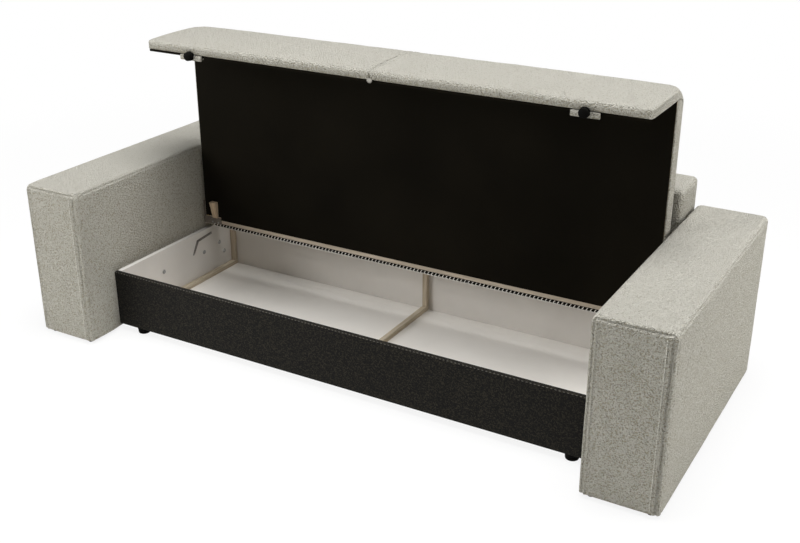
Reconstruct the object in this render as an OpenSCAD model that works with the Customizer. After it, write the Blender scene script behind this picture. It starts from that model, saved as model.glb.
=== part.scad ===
// Storage sofa with a lift-up seat: two box arms, a low storage box between
// them, a backrest, and a one-piece seat with a drop front that swings up on
// two side hinges. Drawn with the seat raised. X runs across, Y to the rear,
// Z up, and the origin is on the floor in the middle of the sofa.

/* [Overall] */
// Clear width between the two arms
bay_w = 1986; // [1500:1:2300]
// Width of one arm
arm_w = 240; // [160:1:320]
// Depth of the arms, front to rear
arm_d = 1042; // [900:1:1200]
// Height of the arms above the floor
arm_h = 610; // [480:1:700]
// Height of the arms' underside above the floor
arm_lift = 22; // [12:1:40]

/* [Arms] */
// Thickness of the arm's boards
arm_board_t = 16; // [12:1:22]
// Thickness of the arm's foam
arm_foam_t = 10; // [5:1:20]
// Radius of the arm's upper edges and front corners
arm_edge_r = 8; // [5:0.5:10]
// Radius of the arm's rear corners
arm_rear_r = 26; // [12:1:40]
// Radius of one arm glide
glide_r = 15; // [8:1:22]
// How far a glide's centre lies in from the arm's faces
glide_inset = 40; // [34:1:60]

/* [Upholstery] */
// Thickness of the upholstery fabric with its backing
cover_t = 3; // [2:0.5:4]
// Thickness of the thin black cloths
cloth_t = 1.5; // [1:0.5:3]

/* [Storage box] */
// Gap between the box's rear board and the backrest's posts
box_rear_gap = 44; // [10:1:80]
// Depth of the box over its front and rear boards
box_d = 726; // [560:1:800]
// Height of the box's underside above the floor
box_lift = 26; // [16:1:40]
// Height of the box, from its underside to its rim
box_h = 220; // [150:1:260]
// Thickness of the box's boards
board_t = 18; // [12:1:22]
// Thickness of the floor panels
floor_t = 3; // [2:0.5:6]
// Height of the battens on the floor
batten_h = 20; // [12:1:35]
// Width of the centre batten
centre_batten_w = 34; // [20:1:60]
// Width of a side batten
side_batten_w = 24; // [15:1:40]
// Side of a rear post's square section
post_w = 28; // [18:1:40]
// Radius of a box foot
box_foot_r = 22; // [14:1:28]
// Distance of a box foot's centre from the box's end
box_foot_x_inset = 103; // [50:1:250]
// Distance of a box foot's centre from the box's front or rear
box_foot_y_inset = 29; // [29:1:80]

/* [Seat] */
// Gap between the seat's side and the arm
seat_side_gap = 15; // [15:0.5:20]
// Gap between the box's rim and the closed seat's underside
seat_gap = 39; // [38:1:60]
// Depth of the seat, front to rear
seat_d = 820; // [745:1:900]
// Thickness of the seat cushion
seat_t = 90; // [86:1:130]
// Radius of the seat's upper edges
seat_edge_r = 36; // [20:1:40]
// Radius of the seat's corners in plan
seat_corner_r = 34; // [20:1:45]
// How far the seat's top crowns
seat_crown = 5; // [2:0.5:8]
// How far the seat's sides swell between their edges
seat_swell = 2; // [1:0.5:4]
// Width of the sewn channel across the seat's middle
seam_w = 20; // [10:1:40]
// Depth of the sewn channel
seam_depth = 4; // [2:0.5:6]
// Thickness of the seat frame's rails
rail_t = 30; // [20:1:40]
// Height of the seat frame's rails
rail_h = 37; // [25:1:38]
// Thickness of the seat frame's side boards
side_rail_t = 18; // [14:1:24]
// How far the side boards stop below the cushion's rounded edge
side_rail_gap = 3; // [1:0.5:10]
// Width of bare rear rail left open by the black cloth
bare_strip_w = 22; // [10:1:28]

/* [Drop front] */
// Height of the drop front's lower edge above the floor, seat closed
drop_lift = 20; // [12:1:40]
// Thickness of the drop front with its lining
drop_t = 33; // [32:1:45]
// Thickness of the drop front's board
drop_board_t = 16; // [12:1:16]
// Radius of the drop front's lower edges
drop_edge_r = 12; // [6:1:14]
// Radius of a drop-front foot
drop_foot_r = 21; // [12:1:24]
// Distance of a drop-front foot's centre from the seat's end
drop_foot_inset = 210; // [80:1:400]
// Width of the block that carries a drop-front foot
foot_block_w = 110; // [60:1:160]
// Height of the block that carries a drop-front foot
foot_block_h = 40; // [25:1:60]
// How far the block stands out from the drop front's lining
foot_block_t = 25; // [15:1:40]

/* [Hinges] */
// Distance of the hinge axis ahead of the seat's rear edge
pivot_in = 77.5; // [76:0.5:78]
// Height of the hinge axis above the seat's underside
pivot_up = 62.5; // [55:0.5:63]
// Swing of the seat from closed to raised
open_angle = 90; // [80:1:90]
// Radius of the hinge pin
pin_r = 5; // [4:0.5:7]
// Radius of the pin's head and collar
pin_head_r = 9; // [8:0.5:10]
// Thickness of the hinge plates
plate_t = 4; // [3:0.5:5]
// Radius of the fixed plate's head around the pin
plate_head_r = 26; // [18:1:27]
// Width of the fixed plate's neck
plate_neck_w = 46; // [30:1:52]
// Width of the fixed plate's foot inside the box wall
plate_foot_w = 180; // [150:1:200]
// Height of the fixed plate's foot
plate_foot_h = 100; // [90:1:110]
// Length of the seat bracket's flange under the seat
flange_l = 88; // [60:1:110]
// Width of the seat bracket's flange
flange_w = 30; // [24:1:34]
// Radius of a hinge bolt's head
bolt_head_r = 9; // [7:0.5:12]
// Radius of a hinge bolt's shank
bolt_r = 4; // [3:0.5:5]
// Width of the filler block beside the flange
filler_w = 31; // [20:1:40]
// Length of the filler block
filler_l = 72; // [50:1:90]
// Thickness of the filler block at its thick end
filler_t = 21; // [12:1:24]
// Thickness of the filler block at its thin end
filler_thin_t = 8; // [5:1:12]

/* [Backrest] */
// Height of the backrest above the floor
back_top = 705; // [620:1:780]
// Height of the backrest cushion's lower edge
back_bottom = 382; // [378:1:400]
// Thickness of the backrest, front to rear
back_d = 186; // [150:1:260]
// Gap between the closed seat and the backrest
back_gap = 10; // [6:1:15]
// Gap between the backrest and an arm
back_side_gap = 10; // [6:1:16]
// How far the backrest's rear lies in from the arms' rear
back_rear_inset = 6; // [0:1:20]
// Radius of the backrest's edges
back_edge_r = 28; // [15:1:35]
// How far the backrest swells
back_crown = 5; // [2:0.5:8]
// Width of a backrest upright
upright_w = 35; // [25:1:50]
// Depth of a backrest upright
upright_d = 100; // [80:1:110]
// Height of the backrest frame's lower end
back_lift = 40; // [25:1:80]
// Thickness of the hard panels behind the foam
panel_t = 3; // [2:0.5:5]

/* [Hidden] */
$fn = 48;

// Small sizes that no drawing of the sofa would give a range
cut = 2;              // overrun of a cut past a face
fit_gap = 0.3;        // clearance of a bolt in its hole
run_gap = 0.05;       // clearance of the pin in the moving bracket
foam_gap = 0.3;       // clearance of foam in its cover
box_slip = 0.5;       // clearance of the box in the bay
foot_taper = 2;       // how much a foot narrows towards the floor
head_h = 4;           // height of a bolt head
screw_r = 2;          // radius of a small screw
screw_head_r = 4;     // radius of a small screw's head
screw_head_h = 1.6;   // height of a small screw's head
screw_l = 12;         // length of a small screw's shank
spring_t = 3.8;       // thickness of a seat spring's wire
back_swell = 3;       // how far the backrest's sides swell
flange_t = 3;         // thickness of the bracket's flange
flange_inset = 5;     // how far the flange lies in from the seat's rear
filler_shift = 13;    // how far the filler lies in from the flange's end
pin_head_t = 4;       // thickness of the pin's head
strap_w = 9;          // width of the bent strap
strap_t = 2.5;        // thickness of the bent strap
tab_w = 19;           // width of the pull tab
tab_l = 17;           // length of the pull tab
tab_t = 3;            // thickness of the pull tab
corner_steps = 5;     // facets round a soft corner
edge_steps = 5;       // facets round a soft edge
side_steps = 4;       // rings up a swelling side
top_steps = 5;        // rings over a crown
cap_w = 12;           // half width of the last strip of a crown
radius_keep_share = 0.2;  // share of a corner's radius kept at the crown
corner_limit_share = 0.9; // share of the half depth that a corner may take
seam_shares = [-1, -0.5, 0, 0.5, 1]; // points across the channel, of its half width

// Places along the depth. Arms, backrest, seat and box line up at the rear,
// and each reaches as far forward as its own depth.
y_back_rear = arm_d / 2 - back_rear_inset;
y_back = y_back_rear - back_d;
y_seat_rear = y_back - back_gap;
y_seat = y_seat_rear - seat_d;
y_upright_rear = y_back_rear - back_swell - cover_t;
y_upright = y_upright_rear - upright_d;
y_box_rear = y_upright - box_rear_gap;
y_box_rear_in = y_box_rear - board_t;
y_box = y_box_rear - box_d;
y_box_in = y_box + cloth_t + board_t;

// Places up the height
z_rim = box_lift + box_h;
z_floor = box_lift + floor_t;
z_batten = z_floor + batten_h;
z_seat = z_rim + seat_gap;
z_rail = z_seat + rail_h;
z_foam = z_rail + spring_t;

// Places across the width, right of the middle
x_bay = bay_w / 2;
x_box = x_bay - box_slip;
x_box_in = x_box - board_t;
x_seat = x_bay - seat_side_gap;
x_seat_in = x_seat - seat_swell - cover_t;
x_back = x_bay - back_side_gap;
x_back_in = x_back - back_swell - cover_t;

// Hinge axis and what surrounds it
y_pivot = y_seat_rear - pivot_in;
z_pivot = z_seat + pivot_up;
x_collar = x_seat + plate_t + fit_gap;
x_plate = x_box - plate_t;

// Springs under the foam
spring_amp = 26;      // half width of one zigzag spring
spring_pitch = 50;    // distance between a spring's legs
spring_count = 4;     // springs on each side of the centre rail

// Shapes shared by several pieces

// A box between two opposite corners
module slab(low, high) {
    translate(low) cube(high - low);
}

// A cylinder along X from x1 to x2
module bar(x1, x2, y, z, r) {
    translate([x1, y, z]) rotate([0, 90, 0]) cylinder(r = r, h = x2 - x1);
}

module both_sides() {
    children();
    mirror([1, 0, 0]) children();
}

module on_side(side) {
    mirror([side < 0 ? 1 : 0, 0, 0]) children();
}

// Turns a piece of the closed seat up to the raised seat
module raised() {
    translate([0, y_pivot, z_pivot])
        rotate([-open_angle, 0, 0])
            translate([0, -y_pivot, -z_pivot]) children();
}

// An upholstered block stands on z = 0 with its middle on the Z axis. Its
// outline rings climb the swelling side, turn over the rounded edge and run
// in over the crown. A ring holds [inset, height, outward share, upward share].
function side_rings(top, swell) = [
    for (i = [0 : side_steps])
        let (t = i / side_steps, off = 2 * t - 1)
        [swell * off * off, top * t, 1, 0]
];
function edge_rings(top, swell, r) = [
    for (i = [1 : edge_steps])
        let (a = 90 * i / edge_steps)
        [swell + r * (1 - cos(a)), top + r * sin(a), cos(a), sin(a)]
];
function crown_rings(top, start, reach, crown) = [
    for (i = [1 : top_steps])
        let (t = i / top_steps)
        [start + (reach - start) * t, top + crown * (1 - (1 - t) * (1 - t)), 0, 1]
];
function block_rings(height, reach, swell, r, crown) = concat(
    side_rings(height - crown - r, swell),
    edge_rings(height - crown - r, swell, r),
    crown_rings(height - crown, swell + r, reach, crown)
);

// Half an outline from the left end to the right, on the front when way is
// -1 and on the rear when it is 1, with the sewn channel in its middle
function half_outline(a, b, r, way, ring, seam, depth) = concat(
    [for (i = [0 : corner_steps])
        let (t = 90 * (2 - way * i / corner_steps))
        [-a + r + r * cos(t), way * (b - r) + r * sin(t), ring[1]]],
    [for (s = seam_shares)
        let (dip = depth * (1 - abs(s)))
        [seam / 2 * s, way * (b - dip * ring[2]), ring[1] - dip * ring[3]]],
    [for (i = [0 : corner_steps])
        let (t = 90 * way * (1 - i / corner_steps))
        [a - r + r * cos(t), way * (b - r) + r * sin(t), ring[1]]]
);
function reversed(list) = [for (i = [len(list) - 1 : -1 : 0]) list[i]];
function kept(r, inset, reach, half) =
    min(r * (1 - (1 - radius_keep_share) * inset / reach), half * corner_limit_share);
function outline(size, rf, rr, reach, ring, seam, depth) =
    let (a = size[0] / 2 - ring[0], b = size[1] / 2 - ring[0])
    concat(
        half_outline(a, b, kept(rf, ring[0], reach, b), -1, ring, seam, depth),
        reversed(half_outline(a, b, kept(rr, ring[0], reach, b), 1, ring, seam, depth))
    );
function wall_faces(rings, n) = [
    for (k = [0 : rings - 2], i = [0 : n - 1])
        let (j = (i + 1) % n, low = k * n, high = low + n)
        each [[low + i, high + i, high + j], [low + i, high + j, low + j]]
];
function cap_faces(first, n, up) = [
    for (i = [0 : n / 2 - 2])
        let (a = first + i, b = first + n - 1 - i, c = b - 1, d = a + 1)
        each up ? [[a, b, c], [a, c, d]] : [[a, c, b], [a, d, c]]
];
module soft_block(size, rf, rr, edge_r, swell = 0, crown = 0, seam = 0, depth = 0) {
    seam_here = seam == 0 ? 2 * cap_w : seam;
    half = min(size[0], size[1]) / 2;
    reach = max(half - cap_w, (half + swell + edge_r) / 2);
    rings = block_rings(size[2], reach, swell, edge_r, crown);
    outlines = [for (ring = rings) each outline(size, rf, rr, reach, ring, seam_here, depth)];
    n = len(outlines) / len(rings);
    polyhedron(
        points = outlines,
        faces = concat(
            wall_faces(len(rings), n),
            cap_faces(0, n, false),
            cap_faces((len(rings) - 1) * n, n, true)
        )
    );
}

// Arms. Each is drawn on the right and mirrored for the left.
arm_core_h = arm_h - arm_lift - cover_t;
arm_frame_w = arm_w - 2 * (cover_t + arm_foam_t);
arm_frame_d = arm_d - 2 * (cover_t + arm_foam_t);
x_arm = x_bay + arm_w / 2;
x_arm_board = x_bay + cover_t + arm_foam_t;

// Bolts from the box wall into the arm's inner board, as shares of the box's
// depth and height
arm_bolt_shares = [[0.35, 0.58], [0.18, 0.23]];
arm_bolt_places = [for (s = arm_bolt_shares) [y_box + box_d * s[0], box_lift + box_h * s[1]]];
// Bolts from the backrest frame into the arm's inner board, as shares of the
// upright's depth and of the height of the packer beside it
back_bolt_shares = [[0.45, 0.3], [0.45, 0.9]];
back_bolt_places = [
    for (s = back_bolt_shares)
        [y_upright + upright_d * s[0], back_lift + (back_bottom - rail_h - back_lift) * s[1]]
];

module arm_bolt_holes(r) {
    for (p = arm_bolt_places)
        bar(x_box_in - cut, x_arm_board + arm_board_t + cut, p[0], p[1], r);
}
module back_bolt_holes(r) {
    for (p = back_bolt_places)
        bar(x_upright - upright_w - cut, x_arm_board + arm_board_t + cut, p[0], p[1], r);
}
// A plan with round front and rear corners, and an end view with round top
// corners, both centred on their middle line
module plan_outline(w, d, rf, rr) {
    translate([-w / 2, -d / 2 + rf]) square([w, d - rf - rr]);
    for (row = [[-d / 2 + rf, rf], [d / 2 - rr, rr]], sx = [-1, 1])
        translate([sx * (w / 2 - row[1]), row[0]]) circle(r = row[1]);
    translate([-w / 2 + rf, -d / 2]) square([w - 2 * rf, rf]);
    translate([-w / 2 + rr, d / 2 - rr]) square([w - 2 * rr, rr]);
}
module end_outline(w, h, r) {
    translate([-w / 2, 0]) square([w, h - r]);
    translate([-w / 2 + r, 0]) square([w - 2 * r, h]);
    for (sx = [-1, 1]) translate([sx * (w / 2 - r), h - r]) circle(r = r);
}
module arm_block(inset, drop) {
    w = arm_w - 2 * inset;
    d = arm_d - 2 * inset;
    h = arm_h - arm_lift - inset + drop;
    r = arm_edge_r - inset;
    translate([x_arm, 0, arm_lift - drop]) intersection() {
        linear_extrude(h) plan_outline(w, d, r, arm_rear_r - inset);
        translate([0, d / 2, 0]) rotate([90, 0, 0]) linear_extrude(d) end_outline(w, h, r);
        translate([-w / 2, 0, 0]) rotate([90, 0, 90]) linear_extrude(w) end_outline(d, h, r);
    }
}
module arm_cover(side) color("#C2BFB3") on_side(side) difference() {
    arm_block(0, 0);
    arm_block(cover_t, cut);
    arm_bolt_holes(bolt_r);
    back_bolt_holes(bolt_r);
}
module arm_foam(side) color("#D8C98C") on_side(side) difference() {
    arm_block(cover_t, 0);
    translate([x_arm - arm_frame_w / 2, -arm_frame_d / 2, arm_lift - cut])
        cube([arm_frame_w, arm_frame_d, arm_core_h - arm_foam_t + cut]);
    arm_bolt_holes(bolt_r);
    back_bolt_holes(bolt_r);
}
module arm_frame(side) color("#B99B6B") on_side(side) difference() {
    translate([x_arm - arm_frame_w / 2, -arm_frame_d / 2, arm_lift + arm_board_t])
        cube([arm_frame_w, arm_frame_d, arm_core_h - arm_foam_t - arm_board_t]);
    translate([x_arm - arm_frame_w / 2 + arm_board_t, -arm_frame_d / 2 + arm_board_t, arm_lift])
        cube([arm_frame_w - 2 * arm_board_t, arm_frame_d - 2 * arm_board_t,
            arm_core_h - arm_foam_t - arm_board_t]);
    arm_bolt_holes(bolt_r);
    back_bolt_holes(bolt_r);
}
module arm_base(side) color("#A98C5E") on_side(side)
    translate([x_arm - arm_frame_w / 2, -arm_frame_d / 2, arm_lift])
        cube([arm_frame_w, arm_frame_d, arm_board_t]);
module arm_glides() color("#1A1A1A") both_sides()
    for (sx = [-1, 1], sy = [-1, 1])
        translate([x_arm + sx * (arm_w / 2 - glide_inset), sy * (arm_d / 2 - glide_inset), 0])
            cylinder(r1 = glide_r - foot_taper, r2 = glide_r, h = arm_lift);

// Storage box
module box_front_board() color("#BCA67C")
    slab([-x_box + cloth_t, y_box + cloth_t, box_lift + cloth_t],
        [x_box - cloth_t, y_box_in, z_rim - cloth_t]);
module box_front_cloth() color("#20201A") difference() {
    slab([-x_box, y_box, box_lift], [x_box, y_box_in, z_rim]);
    slab([-x_box + cloth_t, y_box + cloth_t, box_lift + cloth_t],
        [x_box - cloth_t, y_box_in + cut, z_rim - cloth_t]);
}
module box_side(side) color("#E4E2DC") on_side(side) difference() {
    slab([x_box_in, y_box_in, z_floor], [x_box, y_box_rear_in, z_rim]);
    hinge_pocket();
    arm_bolt_holes(bolt_r);
    hinge_bolt_holes(bolt_r);
    strap_screw_holes();
}
module box_rear_board() color("#E4E2DC")
    slab([-x_box, y_box_rear_in, z_floor], [x_box, y_box_rear, z_rim]);
module floor_panel(side) color("#EDEBE6") on_side(side)
    slab([0, y_box_in, box_lift], [x_box, y_box_rear, z_floor]);
module side_battens() color("#BFA77F") both_sides()
    slab([x_box_in - side_batten_w, y_box_in, z_floor], [x_box_in, y_box_rear_in, z_batten]);
module centre_batten() color("#BFA77F")
    slab([-centre_batten_w / 2, y_box_in, z_floor], [centre_batten_w / 2, y_box_rear_in, z_batten]);
module rear_posts() color("#B59B72") {
    both_sides()
        slab([x_box_in - min(post_w, side_batten_w), y_box_rear_in - post_w, z_batten],
            [x_box_in, y_box_rear_in, z_rim]);
    slab([-post_w / 2, y_box_rear_in - post_w, z_batten], [post_w / 2, y_box_rear_in, z_rim]);
}
module box_feet() color("#141414") both_sides()
    for (y = [y_box + box_foot_y_inset, y_box_rear - box_foot_y_inset])
        translate([x_box - box_foot_x_inset, y, 0])
            cylinder(r1 = box_foot_r - foot_taper, r2 = box_foot_r, h = box_lift);
module arm_bolts() color("#8A8A86") both_sides()
    for (p = arm_bolt_places) {
        bar(x_box_in, x_arm_board + arm_board_t, p[0], p[1], bolt_r);
        bar(x_box_in - head_h, x_box_in, p[0], p[1], bolt_head_r);
    }

// Fixed hinge plates. The foot of each lies in a pocket in the outer side of
// the box wall, and the neck rises beside the seat to the pin.
foot_ahead_share = 0.65;
foot_up_share = 0.27;
plate_foot_y = y_pivot - plate_foot_w * foot_ahead_share;
plate_foot_z = box_lift + box_h * foot_up_share;
// Its bolts, as shares of the foot's width and height
hinge_bolt_shares = [[0.13, 0.63], [0.86, 0.23], [0.7, 0.73]];
hinge_bolt_places = [
    for (s = hinge_bolt_shares)
        [plate_foot_y + plate_foot_w * s[0], plate_foot_z + plate_foot_h * s[1]]
];
module plate_outline(grow) {
    translate([plate_foot_y - grow, plate_foot_z - grow])
        square([plate_foot_w + 2 * grow, plate_foot_h + 2 * grow]);
    translate([y_pivot - plate_neck_w / 2 - grow, plate_foot_z + plate_foot_h - cut])
        square([plate_neck_w + 2 * grow, z_pivot - plate_foot_z - plate_foot_h + cut]);
    translate([y_pivot, z_pivot]) circle(r = plate_head_r + grow);
}
module on_wall(x) {
    translate([x, 0, 0]) rotate([90, 0, 90]) children();
}
module hinge_pocket() {
    on_wall(x_plate) linear_extrude(plate_t + cut) plate_outline(fit_gap);
}
module hinge_bolt_holes(r) {
    for (p = hinge_bolt_places)
        bar(x_box_in - cut, x_box + cut, p[0], p[1], r);
}
module hinge_plate(side) color("#8E9092") on_side(side) difference() {
    on_wall(x_plate) linear_extrude(plate_t) plate_outline(0);
    bar(x_plate - cut, x_box + cut, y_pivot, z_pivot, pin_r);
    hinge_bolt_holes(bolt_r);
}
module hinge_bolts() color("#8A8A86") both_sides()
    for (p = hinge_bolt_places) {
        bar(x_box_in, x_box, p[0], p[1], bolt_r);
        bar(x_box_in - head_h, x_box_in, p[0], p[1], bolt_head_r);
    }
module hinge_pins() color("#A5A7A8") both_sides() {
    bar(x_seat - pin_head_t - fit_gap, x_box, y_pivot, z_pivot, pin_r);
    bar(x_seat - pin_head_t - fit_gap, x_seat - fit_gap, y_pivot, z_pivot, pin_head_r);
    bar(x_collar, x_plate, y_pivot, z_pivot, pin_head_r);
}

// A bent steel strap on each box wall, held by a screw at its lower end and
// one at its rear end. Its ends and its bend are shares of the hinge plate's
// foot along the wall, and of the box's height.
strap_shares = [[-0.25, 0.645], [-0.075, 0.864], [0.43, 0.9]];
strap_places = [
    for (s = strap_shares)
        [plate_foot_y + plate_foot_w * s[0], box_lift + box_h * s[1]]
];
strap_low = strap_places[0];
strap_bend = strap_places[1];
strap_rear = strap_places[2];
module strap_outline() {
    polygon([
        [strap_low[0] - strap_w / 2, strap_low[1] - strap_w],
        [strap_low[0] + strap_w / 2, strap_low[1] - strap_w],
        [strap_bend[0] + strap_w / 2, strap_bend[1] - strap_w],
        [strap_rear[0], strap_rear[1] - strap_w],
        [strap_rear[0], strap_rear[1]],
        [strap_bend[0] - strap_w / 2, strap_bend[1]]
    ]);
}
strap_screw_places = [
    [strap_low[0], strap_low[1] - strap_w / 2],
    [strap_rear[0] - strap_w, strap_rear[1] - strap_w / 2]
];
module strap_screw_holes() {
    for (p = strap_screw_places)
        bar(x_box_in - cut, x_box_in + screw_l, p[0], p[1], screw_r);
}
module wall_straps() color("#6F6C66") both_sides() difference() {
    on_wall(x_box_in - strap_t) linear_extrude(strap_t) strap_outline();
    for (p = strap_screw_places)
        bar(x_box_in - strap_t - cut, x_box_in + cut, p[0], p[1], screw_r);
}
module strap_screws() color("#77746E") both_sides()
    for (p = strap_screw_places) {
        bar(x_box_in - strap_t, x_box_in + screw_l, p[0], p[1], screw_r);
        bar(x_box_in - strap_t - screw_head_h, x_box_in - strap_t, p[0], p[1], screw_head_r);
    }

// Backrest
x_upright = x_back_in - back_edge_r;
z_upright = back_top - back_crown - back_edge_r;
back_core_d = y_back_rear - y_back - 2 * (back_swell + cover_t);
back_core_h = back_top - back_crown - cover_t - back_bottom;
module back_core(grow, drop) {
    translate([0, (y_back + y_back_rear) / 2, back_bottom - drop])
        soft_block([2 * x_back_in + 2 * grow, back_core_d + 2 * grow, back_core_h + grow + drop],
            back_edge_r - cover_t, back_edge_r - cover_t, back_edge_r - cover_t);
}
module back_cover() color("#BCB9AC") difference() {
    translate([0, (y_back + y_back_rear) / 2, back_bottom])
        soft_block([2 * x_back, y_back_rear - y_back, back_top - back_bottom],
            back_edge_r, back_edge_r, back_edge_r, back_swell, back_crown);
    back_core(0, cut);
}
module back_frame_space() {
    slab([-x_upright, y_upright - panel_t, back_bottom - cut],
        [x_upright, y_back_rear, z_upright]);
}
module back_foam() color("#D8C98C") difference() {
    back_core(-foam_gap, 0);
    back_frame_space();
}
module back_upright(side) color("#B99B6B") on_side(side) difference() {
    slab([x_upright - upright_w, y_upright, back_lift],
        [x_upright, y_upright_rear, z_upright]);
    back_bolt_holes(bolt_r);
}
module back_rails() color("#B99B6B")
    for (z = [back_lift, back_bottom - rail_h, z_upright - rail_h])
        slab([-x_upright + upright_w, y_upright, z],
            [x_upright - upright_w, y_upright + rail_t, z + rail_h]);
module back_panel() color("#9C8258")
    slab([-x_upright, y_upright - panel_t, back_bottom],
        [x_upright, y_upright, z_upright]);
module back_lower_board() color("#9C8258")
    slab([-x_back_in, y_upright_rear, back_lift],
        [x_back_in, y_upright_rear + panel_t, back_bottom]);
module back_lower_cover() color("#BCB9AC")
    slab([-x_back, y_upright_rear + panel_t, back_lift],
        [x_back, y_upright_rear + panel_t + cover_t, back_bottom]);
module back_packers() color("#B99B6B") both_sides() difference() {
    slab([x_upright, y_upright, back_lift],
        [x_bay - box_slip, y_upright_rear, back_bottom - rail_h]);
    back_bolt_holes(bolt_r);
}
module back_bolts() color("#8A8A86") both_sides()
    for (p = back_bolt_places) {
        bar(x_upright - upright_w, x_arm_board + arm_board_t, p[0], p[1], bolt_r);
        bar(x_upright - upright_w - head_h, x_upright - upright_w, p[0], p[1], bolt_head_r);
    }

// Seat, drawn closed and turned up by raised()
drop_foam_t = drop_t - drop_board_t - 2 * cover_t - cloth_t - seat_swell;
y_drop_board = y_seat + seat_swell + cover_t + drop_foam_t;
y_rail = y_drop_board + drop_board_t;
y_drop_in = y_seat + drop_t;
// The rear rail stands in from the cover so far that its ends clear the
// cover's round corners
core_corner_r = seat_corner_r - cover_t;
corner_reach = max(core_corner_r - side_rail_t, 0);
rail_in = 2 * core_corner_r - sqrt(core_corner_r * core_corner_r - corner_reach * corner_reach)
    - core_corner_r * cos(45 / corner_steps) + foam_gap;
y_core_rear = y_seat_rear - seat_swell - cover_t;
y_rail_rear = y_core_rear - rail_in;
y_side_front = y_seat + seat_swell + seat_corner_r;
y_side_rear = y_seat_rear - seat_swell - seat_corner_r;
seat_mid_y = (y_seat + y_seat_rear) / 2;
seat_core_d = seat_d - 2 * (seat_swell + cover_t);
seat_core_h = seat_t - seat_crown - cover_t;
side_rail_h = seat_core_h - (seat_edge_r - cover_t) - side_rail_gap;
module seat_core(grow, drop) {
    translate([0, seat_mid_y, z_seat - drop])
        soft_block([2 * x_seat_in + 2 * grow, seat_core_d + 2 * grow, seat_core_h + grow + drop],
            seat_corner_r - cover_t, seat_corner_r - cover_t, seat_edge_r - cover_t);
}
module pin_recess() {
    bar(x_seat - pin_head_t - 2 * fit_gap - cover_t, x_seat + cut,
        y_pivot, z_pivot, pin_head_r + fit_gap + cover_t);
}
module seat_cover() color("#C6C3B7") raised() difference() {
    translate([0, seat_mid_y, z_seat])
        soft_block([2 * x_seat, seat_d, seat_t], seat_corner_r, seat_corner_r,
            seat_edge_r, seat_swell, seat_crown, seam_w, seam_depth);
    seat_core(0, cut);
    both_sides() pin_recess();
}
module side_rail_space(grow) {
    both_sides()
        slab([x_seat_in - side_rail_t - grow, y_side_front - grow, z_seat - cut],
            [x_seat_in + cut, y_side_rear + grow, z_seat + side_rail_h + grow]);
}
module seat_foam() color("#D8C98C") raised() difference() {
    seat_core(-foam_gap, 0);
    slab([-x_seat, y_seat, z_seat - cut], [x_seat, y_seat_rear, z_foam]);
    side_rail_space(foam_gap);
}
module seat_rail(y1, y2) {
    slab([-x_seat_in + side_rail_t, y1, z_seat], [x_seat_in - side_rail_t, y2, z_rail]);
}
module seat_front_rail() color("#B99B6B") raised() seat_rail(y_rail, y_rail + rail_t);
module seat_rear_rail() color("#B2A083") raised() difference() {
    seat_rail(y_rail_rear - rail_t, y_rail_rear);
    both_sides() bracket_screw_holes();
}
module seat_side_rail(side) color("#B99B6B") raised() on_side(side)
    slab([x_seat_in - side_rail_t, y_side_front, z_seat],
        [x_seat_in, y_side_rear, z_seat + side_rail_h]);
module seat_centre_rail() color("#B99B6B") raised()
    slab([-rail_t / 2, y_rail + rail_t, z_seat], [rail_t / 2, y_rail_rear - rail_t, z_rail]);
spring_run = y_rail_rear - y_rail - rail_t;
spring_legs = floor(spring_run / spring_pitch);
spring_step = (x_seat_in - side_rail_t) / spring_count;
module zigzag() {
    w = spring_t;
    for (i = [0 : spring_legs]) {
        y = spring_run * i / spring_legs;
        translate([-spring_amp, y - w / 2]) square([2 * spring_amp, w]);
        if (i < spring_legs)
            translate([(i % 2 == 0 ? spring_amp : -spring_amp) - w / 2, y - w / 2])
                square([w, spring_run / spring_legs + w]);
    }
}
module seat_springs() color("#7C7E80") raised() both_sides()
    for (i = [0 : spring_count - 1])
        translate([spring_step * (i + 1 / 2), y_rail + rail_t / 2, z_rail])
            linear_extrude(spring_t) zigzag();
module seat_underside_cloth() color("#12110C") raised() difference() {
    slab([-x_seat_in, y_drop_in, z_seat - cloth_t],
        [x_seat_in, y_core_rear - bare_strip_w, z_seat]);
    both_sides()
        slab([x_filler, y_filler, z_seat - filler_t],
            [x_filler + filler_w, y_flange, z_seat + cut]);
    both_sides()
        slab([x_flange, y_flange, z_seat - filler_t], [x_seat, y_seat_rear, z_seat + cut]);
}

// Drop front
module drop_front_cover() color("#B4B1A4") raised() difference() {
    translate([0, y_seat + (drop_t - cloth_t) / 2, z_seat]) mirror([0, 0, 1])
        soft_block([2 * x_seat, drop_t - cloth_t, z_seat - drop_lift], drop_edge_r, drop_edge_r,
            drop_edge_r, seat_swell, 0, seam_w, seam_depth / 2);
    slab([-x_seat_in + drop_edge_r, y_drop_board - drop_foam_t, drop_lift + drop_edge_r],
        [x_seat_in - drop_edge_r, y_rail, z_seat + cut]);
}
module drop_front_foam() color("#D8C98C") raised()
    slab([-x_seat_in + seat_corner_r, y_drop_board - drop_foam_t, drop_lift + drop_edge_r],
        [x_seat_in - seat_corner_r, y_drop_board, min(z_rail, z_seat + side_rail_h)]);
module drop_front_board() color("#B99B6B") raised()
    slab([-x_seat_in + seat_corner_r, y_drop_board, drop_lift + drop_edge_r],
        [x_seat_in - seat_corner_r, y_rail, z_rail]);
module drop_front_lining() color("#12110C") raised()
    slab([-x_seat_in, y_drop_in - cloth_t, drop_lift + drop_edge_r],
        [x_seat_in, y_drop_in, z_seat]);
drop_foot_x = x_seat - drop_foot_inset;
module foot_blocks() color("#A9A698") raised() both_sides()
    slab([drop_foot_x - foot_block_w / 2, y_drop_in, drop_lift],
        [drop_foot_x + foot_block_w / 2, y_drop_in + foot_block_t, drop_lift + foot_block_h]);
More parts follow.
